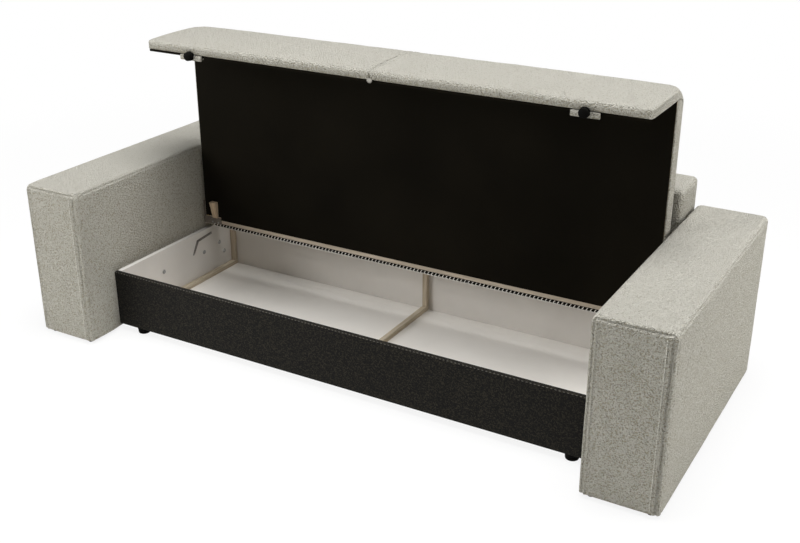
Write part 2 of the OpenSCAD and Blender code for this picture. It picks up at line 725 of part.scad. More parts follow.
module drop_front_feet() color("#141414") raised() both_sides()
    translate([drop_foot_x, y_drop_in + foot_block_t - drop_foot_r, 0])
        cylinder(r1 = drop_foot_r - foot_taper, r2 = drop_foot_r, h = drop_lift);
module pull_tab() color("#CFCBBE") raised()
    slab([-tab_w / 2, y_drop_in, drop_lift + tab_t],
        [tab_w / 2, y_drop_in + tab_t, drop_lift + tab_t + tab_l]);

// Moving brackets. The flange lies under the seat's rear corner, and the side
// plate rises along the seat's side to the pin.
y_flange_rear = y_seat_rear - flange_inset;
y_flange = y_flange_rear - flange_w;
x_flange = x_seat + plate_t - flange_l;
x_filler = x_flange + filler_shift;
y_filler = y_flange - filler_l;
bracket_screw_xs = [flange_l / 6, flange_l / 2];
module bracket_screw_holes() {
    for (x = bracket_screw_xs)
        translate([x_flange + x, y_flange_rear - flange_w / 3, z_seat - flange_t - cut])
            cylinder(r = screw_r, h = screw_l + flange_t + cut);
}
module seat_bracket(side) color("#85878A") raised() on_side(side) difference() {
    union() {
        slab([x_flange, y_flange, z_seat - flange_t],
            [x_seat + plate_t, y_flange_rear, z_seat]);
        slab([x_seat, y_pivot - plate_head_r, z_seat - flange_t],
            [x_seat + plate_t, y_flange_rear, z_pivot]);
        bar(x_seat, x_seat + plate_t, y_pivot, z_pivot, plate_head_r);
    }
    bar(x_seat - cut, x_seat + plate_t + cut, y_pivot, z_pivot, pin_r + run_gap);
    bracket_screw_holes();
}
module bracket_screws() color("#77746E") raised() both_sides()
    for (x = bracket_screw_xs)
        translate([x_flange + x, y_flange_rear - flange_w / 3, z_seat - flange_t]) {
            cylinder(r = screw_r, h = screw_l + flange_t);
            translate([0, 0, -screw_head_h]) cylinder(r = screw_head_r, h = screw_head_h);
        }
module filler_blocks() color("#9A7E55") raised() both_sides()
    translate([x_filler, 0, 0]) rotate([90, 0, 90]) linear_extrude(filler_w)
        polygon([[y_filler, z_seat], [y_filler, z_seat - filler_t],
            [y_flange, z_seat - filler_thin_t], [y_flange, z_seat]]);

arm_frame(-1);  // left_arm_frame
arm_frame(1);  // right_arm_frame
arm_base(-1);  // left_arm_base
arm_base(1);  // right_arm_base
arm_foam(-1);  // left_arm_foam
arm_foam(1);  // right_arm_foam
arm_cover(-1);  // left_arm_cover
arm_cover(1);  // right_arm_cover
arm_glides();
box_front_board();
box_front_cloth();
box_side(-1);  // box_left_side
box_side(1);  // box_right_side
box_rear_board();
floor_panel(-1);  // left_floor_panel
floor_panel(1);  // right_floor_panel
side_battens();
centre_batten();
rear_posts();
box_feet();
arm_bolts();
hinge_plate(-1);  // left_hinge_plate
hinge_plate(1);  // right_hinge_plate
hinge_pins();
hinge_bolts();
wall_straps();
strap_screws();
back_upright(-1);  // back_left_upright
back_upright(1);  // back_right_upright
back_rails();
back_panel();
back_foam();
back_cover();
back_lower_board();
back_lower_cover();
back_packers();
back_bolts();
seat_front_rail();
seat_rear_rail();
seat_side_rail(-1);  // seat_left_rail
seat_side_rail(1);  // seat_right_rail
seat_centre_rail();
seat_springs();
seat_foam();
seat_cover();
seat_underside_cloth();
drop_front_board();
drop_front_foam();
drop_front_cover();
drop_front_lining();
foot_blocks();
drop_front_feet();
pull_tab();
seat_bracket(-1);  // left_seat_bracket
seat_bracket(1);  // right_seat_bracket
bracket_screws();
filler_blocks();
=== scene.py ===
import math

import bmesh
import bpy
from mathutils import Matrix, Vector, noise


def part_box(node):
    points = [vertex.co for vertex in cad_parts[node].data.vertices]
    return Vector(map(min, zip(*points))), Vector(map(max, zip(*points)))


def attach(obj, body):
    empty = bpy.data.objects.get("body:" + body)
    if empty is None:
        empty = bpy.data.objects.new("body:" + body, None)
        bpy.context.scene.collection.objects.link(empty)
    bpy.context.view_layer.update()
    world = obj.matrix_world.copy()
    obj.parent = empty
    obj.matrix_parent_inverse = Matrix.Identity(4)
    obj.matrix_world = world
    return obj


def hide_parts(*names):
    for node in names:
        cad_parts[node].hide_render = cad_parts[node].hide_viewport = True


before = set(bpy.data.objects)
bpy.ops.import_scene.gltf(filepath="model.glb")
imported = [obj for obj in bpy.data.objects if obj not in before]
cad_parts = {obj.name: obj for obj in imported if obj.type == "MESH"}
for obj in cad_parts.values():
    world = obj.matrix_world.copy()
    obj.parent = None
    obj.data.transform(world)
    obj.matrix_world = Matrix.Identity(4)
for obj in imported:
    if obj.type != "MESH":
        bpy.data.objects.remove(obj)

# The view. The sofa is seen from its front right and from above head height,
# with the seat raised. The lens and the place were worked out from the edges
# of the arms, the storage box and the raised seat.
scene = bpy.context.scene
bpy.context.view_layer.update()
lens = bpy.data.cameras.new("view")
lens.sensor_width = 36.0
lens.lens = 49.79
camera = bpy.data.objects.new("view", lens)
camera.location = (1.9127, -3.199, 1.959)
camera.rotation_euler = (math.radians(66.351), 0, math.radians(29.932))
scene.collection.objects.link(camera)
scene.camera = camera
scene.view_settings.view_transform = "Standard"


# The floor and the light. The floor is a plain white sheet that keeps a faint
# shadow, and the room is an even white. One wide soft lamp hangs overhead and
# two weaker ones stand to the right and at the front left.
def new_material(name, **surface):
    """A material and its node tree, with the surface's plain numbers set."""
    material = bpy.data.materials.new(name)
    material.use_nodes = True
    shader = material.node_tree.nodes["Principled BSDF"]
    for quality, value in surface.items():
        shader.inputs[quality.replace("_", " ")].default_value = value
    return material, material.node_tree


def add_node(tree, kind, inputs=(), **settings):
    """Adds a shader node. Each input takes a plain value or another node's output."""
    made = tree.nodes.new("ShaderNode" + kind)
    for setting, value in settings.items():
        setattr(made, setting, value)
    for socket, value in dict(inputs).items():
        if isinstance(value, bpy.types.NodeSocket):
            tree.links.new(value, made.inputs[socket])
        else:
            made.inputs[socket].default_value = value
    return made


def combined(tree, operation, *values, clamped=False):
    """The outcome of one sum on node outputs and plain numbers."""
    inputs = enumerate(values)
    return add_node(tree, "Math", inputs, operation=operation, use_clamp=clamped).outputs[0]


def seen_directly(tree):
    """1 where the camera, a reflection or clear glass looks at the surface."""
    path = add_node(tree, "LightPath").outputs
    either = combined(tree, "ADD", path["Is Camera Ray"], path["Is Glossy Ray"], clamped=True)
    return combined(tree, "ADD", either, path["Is Transmission Ray"], clamped=True)


def show_form(name, form, material, smooth=True):
    """Turns a finished form into a piece of the scene."""
    mesh = bpy.data.meshes.new(name)
    form.to_mesh(mesh)
    form.free()
    mesh.polygons.foreach_set("use_smooth", [smooth] * len(mesh.polygons))
    mesh.materials.append(material)
    piece = bpy.data.objects.new(name, mesh)
    scene.collection.objects.link(piece)
    return piece


white = (1, 1, 1, 1)
floor_white = (0.78, 0.78, 0.77, 1)
floor_reach = 14.0
floor_glow = 0.86
glow_from, glow_full = 1.2, 4.5
floor_material, tree = new_material("studio_floor", Base_Color=floor_white, Roughness=0.9)
spot = add_node(tree, "TexCoord").outputs["Object"]
away = add_node(tree, "VectorMath", {0: spot}, operation="LENGTH").outputs["Value"]
fade = add_node(tree, "MapRange", {"Value": away, "From Min": glow_from, "From Max": glow_full,
                                   "To Min": floor_glow}, interpolation_type="SMOOTHSTEP")
share = combined(tree, "MULTIPLY", seen_directly(tree), fade.outputs[0])
glow = add_node(tree, "Emission", {"Color": white})
floor_mix = add_node(tree, "MixShader", {0: share, 1: tree.nodes["Principled BSDF"].outputs[0],
                                         2: glow.outputs[0]})
tree.links.new(floor_mix.outputs[0], tree.nodes["Material Output"].inputs["Surface"])
floor_form = bmesh.new()
bmesh.ops.create_grid(floor_form, x_segments=4, y_segments=4, size=floor_reach)
show_form("studio_floor", floor_form, floor_material, smooth=False)

room_light = 0.04
room = bpy.data.worlds.new("room")
room.use_nodes = True
scene.world = room
tree = room.node_tree
room_fill = tree.nodes["Background"]
room_fill.inputs["Color"].default_value = white
room_fill.inputs["Strength"].default_value = room_light
room_white = add_node(tree, "Background", {"Color": white, "Strength": 1.0})
room_mix = add_node(tree, "MixShader", {0: seen_directly(tree), 1: room_fill.outputs[0],
                                        2: room_white.outputs[0]})
tree.links.new(room_mix.outputs[0], tree.nodes["World Output"].inputs["Surface"])


def soft_lamp(name, place, size, power):
    """A square lamp that faces the middle of the sofa."""
    lamp = bpy.data.lights.new(name, "AREA")
    lamp.shape = "SQUARE"
    lamp.size = size
    lamp.energy = power
    stand = bpy.data.objects.new(name, lamp)
    stand.location = place
    stand.rotation_euler = (Vector((0, 0, 0.4)) - Vector(place)).to_track_quat("-Z", "Y").to_euler()
    scene.collection.objects.link(stand)


soft_lamp("overhead", (0.7, -0.4, 6.5), 3.8, 545)
soft_lamp("right_side", (4.4, 0.8, 1.5), 2.2, 109)
soft_lamp("left_front", (-3.0, -2.9, 2.1), 2.5, 119)


# The two arms. Each is a box of boards padded with thin foam and covered in
# curly beige-grey boucle. The front panel is sewn in with a piped seam close
# to its edges, and the top panel meets the sides in a seam.
mm = 0.001


def pattern(tree, kind, scale, laid=None, **numbers):
    """A noise or cell pattern, laid over the piece in the piece's own coordinates."""
    if laid is None:
        laid = add_node(tree, "TexCoord").outputs["Object"]
    return add_node(tree, "Tex" + kind, {"Vector": laid, "Scale": scale, **numbers})


def coloured(tree, amount, low, high, low_at=0.0, high_at=1.0):
    """Colours the surface from the low to the high colour as the amount rises."""
    tone = add_node(tree, "ValToRGB", {"Fac": amount})
    for stop, place, colour in zip(tone.color_ramp.elements, (low_at, high_at), (low, high)):
        stop.position = place
        stop.color = (*colour, 1)
    tree.links.new(tone.outputs["Color"], tree.nodes["Principled BSDF"].inputs["Base Color"])


def embossed(tree, height, strength, distance):
    """Raises the surface with the height of a pattern."""
    relief = add_node(tree, "Bump", {"Height": height, "Strength": strength, "Distance": distance})
    tree.links.new(relief.outputs["Normal"], tree.nodes["Principled BSDF"].inputs["Normal"])


def boucle(name, pale, shade):
    """Curly looped cloth: low curls a few mm wide, whose darker gaps are painted shade between the curls,
    paled on upward faces by painted light from above.
    """
    loop_dip, yarn_rise, painted_top_light = -0.34, 0.16, 0.135
    material, tree = new_material(name, Roughness=0.95, Specular_IOR_Level=0.15, Sheen_Weight=0.1)
    curls = pattern(tree, "Noise", 208, Detail=1.5, Distortion=0.35).outputs["Fac"]
    loops = pattern(tree, "Voronoi", 235).outputs["Distance"]
    yarn = pattern(tree, "Noise", 520, Detail=2).outputs["Fac"]
    raised_curl = combined(tree, "MULTIPLY_ADD", loops, loop_dip, curls)
    pile = combined(tree, "MULTIPLY_ADD", yarn, yarn_rise, raised_curl)
    # Faces turned upward move towards the pale colour: painted light from above.
    normal = add_node(tree, "NewGeometry").outputs["Normal"]
    upward = add_node(tree, "SeparateXYZ", {"Vector": normal}).outputs["Z"]
    pile_and_painted_top_light = combined(tree, "MULTIPLY_ADD", upward, painted_top_light, pile)
    coloured(tree, pile_and_painted_top_light, shade, pale, low_at=0.255, high_at=0.43)
    embossed(tree, pile, strength=1.0, distance=0.0175)
    return material


def lines(start, stop, step, near_start=(0,), near_stop=(0,)):
    """Grid lines from start to stop, with extra lines near either end."""
    low = [start + gap for gap in near_start]
    high = [stop - gap for gap in reversed(near_stop)]
    span = high[0] - low[-1]
    count = max(1, round(span / step))
    return low + [low[-1] + span * i / count for i in range(1, count)] + high


def box_skin(name, xs, ys, zs, placed, material, smooth=True):
    """A closed skin over a grid box. placed() moves each grid point to its place."""
    grid = (xs, ys, zs)
    form = bmesh.new()
    points = {}

    def point(spot):
        if spot not in points:
            points[spot] = form.verts.new(placed(*[grid[axis][spot[axis]] for axis in range(3)]))
        return points[spot]

    for across in (2, 1, 0):
        one, two = [axis for axis in range(3) if axis != across]
        for i in range(len(grid[one]) - 1):
            for j in range(len(grid[two]) - 1):
                for end in (0, len(grid[across]) - 1):
                    ring = []
                    for right, up in ((0, 0), (1, 0), (1, 1), (0, 1)):
                        spot = [end, end, end]
                        spot[one], spot[two] = i + right, j + up
                        ring.append(point(tuple(spot)))
                    form.faces.new(ring if (end > 0) != (across == 1) else reversed(ring))
    bmesh.ops.recalc_face_normals(form, faces=form.faces)
    return show_form(name, form, material, smooth)


def rolled(reach, up):
    """Moves a point of a square edge onto a round one. Both run from 0 to the radius."""
    length = math.hypot(reach, up)
    if length == 0:
        return 0.0, 0.0
    scale = max(reach, up) / length
    return reach * scale, up * scale


def dent(distance, width):
    """1 at the middle of a dent, fading to 0 over its width."""
    return math.exp(-(distance / width) ** 2)


def kept_in(value, low=0.0, high=1.0):
    return min(max(value, low), high)


arm_pale = (0.555, 0.536, 0.47)
arm_shade = (0.375, 0.343, 0.258)
arm_cloth = boucle("arm_boucle", arm_pale, arm_shade)
arm_front_r = 12 * mm
arm_rear_r = 26 * mm
arm_top_r = 18 * mm
arm_crest_r = 11 * mm
arm_foot_r = 4 * mm
arm_corner_r = 26 * mm
seam_side, seam_top, seam_corner_r = 12 * mm, 11 * mm, 8 * mm
seam_deep, seam_wide = 4.2 * mm, 3.6 * mm
fold_gap, fold_wide, fold_side, fold_top = 8 * mm, 2.8 * mm, 2.6 * mm, 0.8 * mm
panel_rise, panel_fade = 1.2 * mm, 60 * mm
side_seam, side_seam_r, side_seam_deep, side_seam_wide = 22 * mm, 22 * mm, 2.7 * mm, 3 * mm
fullness, swell_fade = 6 * mm, 25 * mm
waviness, wave_fade = 0.9 * mm, 50 * mm
face_within, corner_blend = 6 * mm, 30 * mm
arm_drop = 8 * mm
near_edge = [d * mm for d in (*range(0, 32, 2), 34, 40, 48)]
near_rear = [d * mm for d in (0, 3, 6, 10, 15, 20, 24, 28, 32, 40)]
near_foot = [d * mm for d in (0, 2, 4)]


def inside_corner(across, along, corner_r):
    """How far inside two meeting seams a point lies, where the corner is round."""
    if across < corner_r and along < corner_r:
        return corner_r - math.hypot(corner_r - across, corner_r - along)
    return min(across, along)


def arm_cover(name, node, foam):
    """The arm's upholstery: rolled edges, a piped front panel, seams and a slight swell."""
    low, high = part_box(node)
    low.z -= arm_drop
    middle = (low + high) / 2
    half = (high - low) / 2
    height = high.z - low.z
    inner_side = -math.copysign(1, middle.x)
    over_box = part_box("box_left_side")[1].z - low.z + 4 * mm
    before_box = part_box("box_front_cloth")[0].y - middle.y - 4 * mm

    def placed(x, y, z):
        across, along, up = x - middle.x, y - middle.y, z - low.z
        corner_r = arm_rear_r if along > 0 else arm_front_r
        side_x, side_y = math.copysign(1, across), math.copysign(1, along)
        in_x, in_y = half.x - abs(across), half.y - abs(along)
        drawn_in = 0.0
        new_up = up
        top_r = arm_top_r
        if along < 0:
            top_r += (arm_crest_r - arm_top_r) * kept_in(0.5 + (in_x - in_y) / corner_blend)
            top_r += (arm_corner_r - top_r) * dent(max(in_x, in_y), corner_blend)
        for radius, rise, top in ((top_r, up - height + top_r, True), (arm_foot_r, arm_foot_r - up, False)):
            reach = radius - min(in_x, in_y)
            if rise > 0 and reach > 0:
                round_reach, round_rise = rolled(reach, rise)
                drawn_in = reach - round_reach
                new_up = height - radius + round_rise if top else radius - round_rise
        out_x, out_y = abs(across) - half.x + corner_r, abs(along) - half.y + corner_r
        if out_x > 0 and out_y > 0:
            out_x, out_y = rolled(out_x, out_y)
            length = max(math.hypot(out_x, out_y), 1e-9)
            facing = Vector((side_x * out_x / length, side_y * out_y / length, 0))
            point = Vector((side_x * (half.x - corner_r + out_x),
                            side_y * (half.y - corner_r + out_y), new_up))
        else:
            facing = Vector((side_x, 0, 0)) if in_x < in_y else Vector((0, side_y, 0))
            point = Vector((across, along, new_up))
        point -= facing * drawn_in
        if point.y < -half.y + face_within:
            from_side = half.x - seam_side - abs(point.x)
            inside = inside_corner(from_side, height - seam_top - point.z, seam_corner_r)
            fold = fold_side if from_side < inside + 1 * mm else fold_top
            point.y += seam_deep * dent(inside, seam_wide) - fold * dent(inside - fold_gap, fold_wide)
            point.y -= panel_rise * kept_in(inside / panel_fade)
        if abs(point.x) > half.x - face_within:
            ahead = min(point.y + half.y - side_seam, half.y - point.y - arm_rear_r)
            inside = inside_corner(ahead, height - seam_top - point.z, side_seam_r)
            point.x -= side_x * side_seam_deep * dent(inside, side_seam_wide)
        swell = 1.0
        if side_x == inner_side:
            swell = kept_in(max(before_box - along, up - over_box) / swell_fade)
        point.x += side_x * fullness * swell * min(1, abs(across) / (half.x - corner_blend))
        wave = waviness * noise.noise(Vector((x * 7, y * 7, z * 7)))
        if min(in_x, in_y) < 1e-6:
            point += facing * wave
        else:
            point.z += wave * min(1, min(in_x, in_y) / wave_fade)
        return Vector((middle.x, middle.y, low.z)) + point

    xs = lines(low.x, high.x, 14 * mm, near_edge, near_edge)
    ys = lines(low.y, high.y, 24 * mm, near_edge, near_rear)
    zs = lines(low.z, high.z, 12 * mm, near_foot, near_edge)
    cover = box_skin(name, xs, ys, zs, placed, arm_cloth)
    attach(cover, "base")
    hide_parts(node, foam)


arm_cover("left_arm_upholstery", "left_arm_cover", "left_arm_foam")
arm_cover("right_arm_upholstery", "right_arm_cover", "right_arm_foam")


# The thread that holds the piping beside each arm's front panel. It is a row
# of short pale stitches, sewn close beside the seam on the panel's right only,
# and its pale line also stands for a painted highlight along that seam.
def join_rows(form, rows, closed=True):
    """Faces between neighbouring rows of points, each of which is a ring if closed."""
    for near, far in zip(rows, rows[1:]):
        for i in range(len(near) if closed else len(near) - 1):
            j = (i + 1) % len(near)
            form.faces.new((near[i], near[j], far[j], far[i]))


def strand(form, start, stop, side, radius, tip=0.35, corners=4, flat=1.0):
    """A short thread with narrow tips, flattened towards its side."""
    other = (stop - start).normalized().cross(side)
    angles = [2 * math.pi * i / corners for i in range(corners)]
    turns = [(side * math.cos(a) * flat + other * math.sin(a)) * radius for a in angles]
    rings = [[form.verts.new(start.lerp(stop, along) + turn * width) for turn in turns]
             for along, width in ((0, tip), (0.2, 1), (0.8, 1), (1, tip))]
    join_rows(form, rings)
    form.faces.new(reversed(rings[0]))
    form.faces.new(rings[-1])


def stitches(name, start, stop, length, gap, radius, material):
    """A row of short threads from start to stop."""
    form = bmesh.new()
    way = (stop - start).normalized()
    run = 0.0
    while run + length < (stop - start).length:
        strand(form, start + way * run, start + way * (run + length), way.orthogonal().normalized(), radius)
        run += length + gap
    return show_form(name, form, material)


def thread(name, colour):
    material, tree = new_material(name, Roughness=0.7)
    twist = pattern(tree, "Noise", 900).outputs["Fac"]
    coloured(tree, twist, [c * 0.7 for c in colour], colour)
    return material


# The thread is paler than the boucle: partly its own colour, partly a painted highlight.
beige_thread_and_highlight = thread("beige_thread_and_highlight", (0.84, 0.82, 0.74))
beside_seam = fold_gap + 4 * mm
stitch_length, stitch_gap, stitch_r = 8 * mm, 1.5 * mm, 1.2 * mm
for side in ("left", "right"):
    low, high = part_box(side + "_arm_cover")
    seam_x, seam_y = high.x - seam_side - beside_seam, low.y - 2.5 * mm
    seam_head = Vector((seam_x, seam_y, high.z - seam_top - beside_seam))
    sewn = stitches(side + "_arm_stitches", seam_head, Vector((seam_x, seam_y, low.z + 6 * mm)),
                    stitch_length, stitch_gap, stitch_r, beige_thread_and_highlight)
    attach(sewn, "base")


# The boards inside the arms, and every other hidden board of the sofa. They
# are raw chipboard: pressed chips of pale wood with darker specks.
def dress(material, *names):
    """Puts a material on nodes that stay as the frame has them."""
    for node in names:
        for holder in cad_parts[node].material_slots:
            holder.material = material


chipboard, tree = new_material("chipboard", Roughness=0.85)
chips = pattern(tree, "Voronoi", 260)
coloured(tree, chips.outputs["Color"], (0.36, 0.25, 0.13), (0.58, 0.44, 0.26))
embossed(tree, chips.outputs["Distance"], strength=0.3, distance=0.0006)
dress(chipboard, "left_arm_frame", "right_arm_frame", "left_arm_base", "right_arm_base",
      "box_front_board", "back_panel", "back_lower_board", "seat_left_rail",
      "seat_right_rail", "drop_front_board")


# The feet. Every foot is a moulded black plastic disc screwed on from below:
# small glides under the arms, larger feet under the box and the drop front.
def turned(name, outline, base, axis, material, steps=40):
    """A form turned about an axis from (radius, distance along it) points, closed at both ends."""
    form = bmesh.new()
    side = axis.orthogonal().normalized()
    other = axis.cross(side)
    rings = []
    for radius, along in outline:
        centre = base + axis * along
        angles = [2 * math.pi * i / steps for i in range(steps if radius else 1)]
        rings.append([form.verts.new(centre + (side * math.cos(a) + other * math.sin(a)) * radius)
                      for a in angles])
    join_rows(form, rings[1:-1])
    for middle, ring in ((rings[0][0], rings[1]), (rings[-1][0], rings[-2])):
        for i in range(steps):
            form.faces.new((middle, ring[i], ring[(i + 1) % steps]))
    bmesh.ops.recalc_face_normals(form, faces=form.faces)
    return show_form(name, form, material)


black_plastic, tree = new_material("black_plastic", Roughness=0.55, Specular_IOR_Level=0.03)
pebble = pattern(tree, "Noise", 700).outputs["Fac"]
coloured(tree, pebble, (0.0014, 0.0013, 0.0011), (0.0036, 0.0033, 0.0029))
embossed(tree, pebble, strength=0.2, distance=0.0004)
upright = Vector((0, 0, 1))


def foot(name, centre, radius, height, up, body):
    """A disc with a worn rounded tread, a waist groove and a wider collar."""
    shares = [(0, 0), (0.8, 0), (0.88, 0.05), (0.92, 0.16), (0.94, 0.5), (0.9, 0.56), (0.94, 0.62),
              (1, 0.68), (1, 0.96), (0.97, 1), (0, 1)]
    outline = [(radius * out, height * along) for out, along in shares]
    piece = turned(name, outline, centre, up, black_plastic)
    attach(piece, body)
    return piece


def corner_feet(label, first, low, high, in_x, in_y, radius, height):
    """Four feet under the corners of a box, numbered from the first."""
    places = [(x, y) for x in (low.x + in_x, high.x - in_x) for y in (low.y + in_y, high.y - in_y)]
    return [foot("%s_%d" % (label, first + i), Vector((x, y, 0)), radius, height, upright, "base")
            for i, (x, y) in enumerate(places)]


glide_r, glide_in = 11 * mm, 27 * mm
arm_glides = []
for side in ("left", "right"):
    low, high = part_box(side + "_arm_cover")
    arm_glides += corner_feet("arm_glide", len(arm_glides) + 1, low, high, glide_in, glide_in,
                              glide_r, low.z - arm_drop)
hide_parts("arm_glides")
box_foot_r, box_foot_in_x, box_foot_in_y = 25 * mm, 17 * mm, 22 * mm
low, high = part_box("box_feet")
box_feet = corner_feet("box_foot", 1, low, high, box_foot_in_x, box_foot_in_y, box_foot_r, high.z)
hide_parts("box_feet")


# The storage box's front. A chipboard panel is wrapped in a coarse black
# woven cloth with fine brown flecks, folded over the rim and under the foot
# of the board and stapled inside.
def path_sheet(name, low_x, high_x, path, step, shaped, material):
    """A sheet swept across the sofa along a path of (y, z) points. shaped() places each point."""
    count = round((high_x - low_x) / step)
    across = [low_x + (high_x - low_x) * i / count for i in range(count + 1)]
    form = bmesh.new()
    join_rows(form, [[form.verts.new(shaped(x, y, z)) for y, z in path] for x in across], closed=False)
    return show_form(name, form, material)


def round_corner(centre, radius, start, stop, steps=5):
    """Points round an arc whose start and stop are angles in degrees."""
    angles = [math.radians(start + (stop - start) * i / steps) for i in range(steps + 1)]
    return [(centre[0] + radius * math.cos(a), centre[1] + radius * math.sin(a)) for a in angles]


front_weave, tree = new_material("front_weave", Roughness=0.9, Specular_IOR_Level=0.2)
weave = pattern(tree, "Voronoi", 290, Randomness=0.8)
cloud = pattern(tree, "Noise", 150, Detail=4).outputs["Fac"]
cell = add_node(tree, "SeparateColor", {"Color": weave.outputs["Color"]}).outputs[0]
coloured(tree, combined(tree, "MULTIPLY", cell, cloud), (0.0015, 0.0013, 0.0008), (0.0214, 0.0184, 0.0122),
         low_at=0.2, high_at=0.52)
embossed(tree, weave.outputs["Distance"], strength=0.5, distance=0.0015)
front_cloth_fold = 24 * mm
front_edge_r = 3 * mm
front_low, front_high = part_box("box_front_cloth")
inner_y = front_high.y + 0.4 * mm
rim_z, foot_z = front_high.z - front_edge_r, front_low.z + front_edge_r
face_steps = 12
wrap = [(inner_y, front_high.z - front_cloth_fold), (inner_y, rim_z - front_edge_r)]
wrap += round_corner((inner_y - front_edge_r, rim_z), front_edge_r, 0, 90)
wrap += round_corner((front_low.y + front_edge_r, rim_z), front_edge_r, 90, 180)
wrap += [(front_low.y, rim_z + (foot_z - rim_z) * i / face_steps) for i in range(1, face_steps)]
wrap += round_corner((front_low.y + front_edge_r, foot_z), front_edge_r, 180, 270)
wrap += [(inner_y - front_edge_r, front_low.z)]


def front_ripple(x, y, z):
    """The cloth lies taut, with a slight unevenness between its staples."""
    push = 0.5 * mm * noise.noise(Vector((x * 14, 0, z * 14)))
    return Vector((x, y - push if y < front_low.y + 1e-6 else y, z))


box_front = path_sheet("box_front_weave", front_low.x, front_high.x, wrap, 12 * mm, front_ripple, front_weave)
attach(box_front, "base")
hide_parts("box_front_cloth")
# A row of short grey threads along the front's top edge, paler than the black cloth: a painted highlight on
# the lit rim.
edge_y, edge_z = front_low.y + 0.9 * mm, front_high.z - 0.9 * mm
rim_highlight_thread = stitches("box_front_rim_highlight_thread", Vector((front_low.x + 4 * mm, edge_y, edge_z)),
                       Vector((front_high.x - 4 * mm, edge_y, edge_z)), 7 * mm, 7 * mm, 1.2 * mm,
                       thread("grey_rim_highlight_thread", (0.085, 0.078, 0.062)))
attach(rim_highlight_thread, "base")


# The storage box's sides and rear. They are chipboard faced with white
# laminate, butted together and screwed.
def white_board(name, white, stain):
    """A smooth white face with faint stains."""
    material, tree = new_material(name, Roughness=0.42)
    coloured(tree, pattern(tree, "Noise", 5, Detail=6).outputs["Fac"], stain, white, low_at=0.3, high_at=0.6)
    embossed(tree, pattern(tree, "Noise", 380).outputs["Fac"], strength=0.08, distance=0.0004)
    return material


laminate = white_board("white_laminate", (0.68, 0.655, 0.62), (0.63, 0.605, 0.57))
dress(laminate, "box_left_side", "box_right_side", "box_rear_board")


# The box's floor. Two thin panels of white-faced hardboard lie side by side
# under the battens and meet below the centre batten.
hardboard = white_board("white_hardboard", (0.89, 0.86, 0.81), (0.85, 0.82, 0.77))
dress(hardboard, "left_floor_panel", "right_floor_panel")


# The battens and the rear posts. They are raw sawn softwood, screwed down
# along the walls and the middle of the floor to hold the panels flat.
def wood(name, pale, dark, stretch):
    """Raw wood whose grain runs along the axis with the smallest stretch."""
    material, tree = new_material(name, Roughness=0.8)
    place = add_node(tree, "TexCoord").outputs["Object"]
    along = add_node(tree, "Mapping", {"Vector": place, "Scale": stretch}).outputs[0]
    fibre = pattern(tree, "Noise", 3, along, Detail=7, Distortion=0.6).outputs["Fac"]
    coloured(tree, fibre, dark, pale, low_at=0.33, high_at=0.66)
    embossed(tree, fibre, strength=0.35, distance=0.0008)
    return material


grain_x, grain_y, grain_z = (1.2, 40, 40), (40, 1.2, 40), (40, 40, 1.2)
batten_pale, batten_dark = (0.56, 0.485, 0.37), (0.38, 0.315, 0.22)
batten_wood = wood("batten_wood", batten_pale, batten_dark, grain_y)
post_wood = wood("post_wood", (0.56, 0.48, 0.37), (0.35, 0.29, 0.205), grain_z)


def sawn(name, low_x, high_x, low, high, material):
    """A sawn stick whose long edges are eased and a little uneven."""
    ease = 2 * mm
    low, high = Vector((low_x, low.y, low.z)), Vector((high_x, high.y, high.z))
    size = high - low
    long_way = max(range(3), key=lambda i: size[i])
    steps = []
    for i in range(3):
        inner = [k / 24 for k in range(1, 24)] if i == long_way else [0.33, 0.67]
        steps.append([0, ease / size[i]] + inner + [1 - ease / size[i], 1])

    def placed(*shares):
        point = Vector([low[i] + size[i] * shares[i] for i in range(3)])
        ends = [i for i in range(3) if shares[i] in (0, 1)]
        if len(ends) > 1:
            for i in ends:
                point[i] += (0.5 - shares[i]) * ease * 0.6
        rough = 0.35 * mm * noise.noise(point * 45)
        for i in ends:
            if i != long_way:
                point[i] += (0.5 - shares[i]) * abs(rough)
        return point

    stick = box_skin(name, *steps, placed, material, smooth=False)
    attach(stick, "base")
    return stick


stick_width = 19 * mm
low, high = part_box("side_battens")
left_batten = sawn("left_batten", low.x, low.x + stick_width, low, high, batten_wood)
sawn("right_batten", high.x - stick_width, high.x, low, high, batten_wood)
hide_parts("side_battens")
low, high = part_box("centre_batten")
middle_batten = sawn("middle_batten", low.x + 2 * mm, high.x - 12 * mm, low, high, batten_wood)
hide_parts("centre_batten")
low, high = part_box("rear_posts")
low.y += 6 * mm
left_post = sawn("left_post", low.x, low.x + stick_width, low, high, post_wood)
sawn("middle_post", -14 * mm, 6 * mm, low, high, post_wood)
sawn("right_post", high.x - stick_width, high.x, low, high, post_wood)
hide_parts("rear_posts")


# The bolts through the box walls. Each is a zinc-plated steel bolt with a
# domed head, a round socket and a flat washer, tightened from inside.
def metal(name, pale, dark, rough, metallic=0.85):
    """Plain metal, scuffed unevenly."""
    material, tree = new_material(name, Metallic=metallic)
    scuff = pattern(tree, "Noise", 45, Detail=3).outputs["Fac"]
    coloured(tree, scuff, dark, pale, low_at=0.35, high_at=0.65)
    wear = add_node(tree, "MapRange", {"Value": scuff, "To Min": rough - 0.1, "To Max": rough + 0.1})
    tree.links.new(wear.outputs[0], tree.nodes["Principled BSDF"].inputs["Roughness"])
    return material


zinc = metal("zinc_plate", (0.42, 0.42, 0.41), (0.26, 0.26, 0.25), 0.45)
dress(zinc, "back_bolts")


